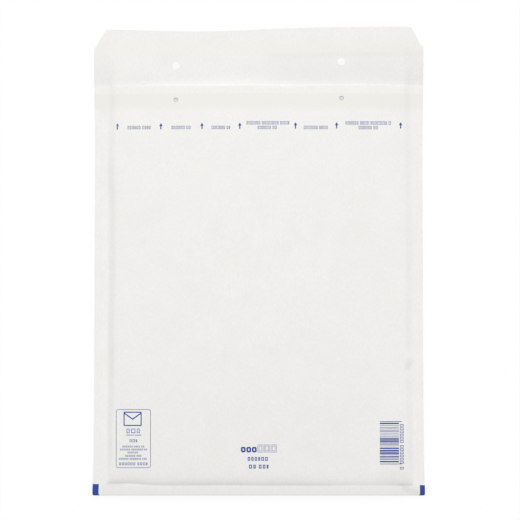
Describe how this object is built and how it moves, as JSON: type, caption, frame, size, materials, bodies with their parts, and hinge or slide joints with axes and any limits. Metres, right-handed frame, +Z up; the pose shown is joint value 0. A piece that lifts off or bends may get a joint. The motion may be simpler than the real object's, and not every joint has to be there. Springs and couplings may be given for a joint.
{
  "type": "padded envelope",
  "caption": "Flat padded envelope of white kraft paper with a bubble film lining, an open flap with a covered adhesive strip, and fastener holes.",
  "frame": {"origin": "on the surface that the envelope lies on, under the middle of its footprint with the flap open", "axes": "+X across the envelope, +Y from the bottom fold towards the flap's tip, +Z up out of the printed front panel"},
  "size_m": [0.29, 0.4118, 0.012],
  "materials": {
    "white_paper": "matt white kraft paper with blue print",
    "bubble_film": "clear polyethylene bubble film",
    "adhesive": "tacky amber hot-melt adhesive",
    "liner_paper": "siliconed release paper, slightly glossy"
  },
  "bodies": {
    "root": {"paper_envelope": "white_paper", "bubble_film_lining": "bubble_film", "closure_adhesive": "adhesive", "release_liner": "liner_paper"}
  },
  "joints": []
}
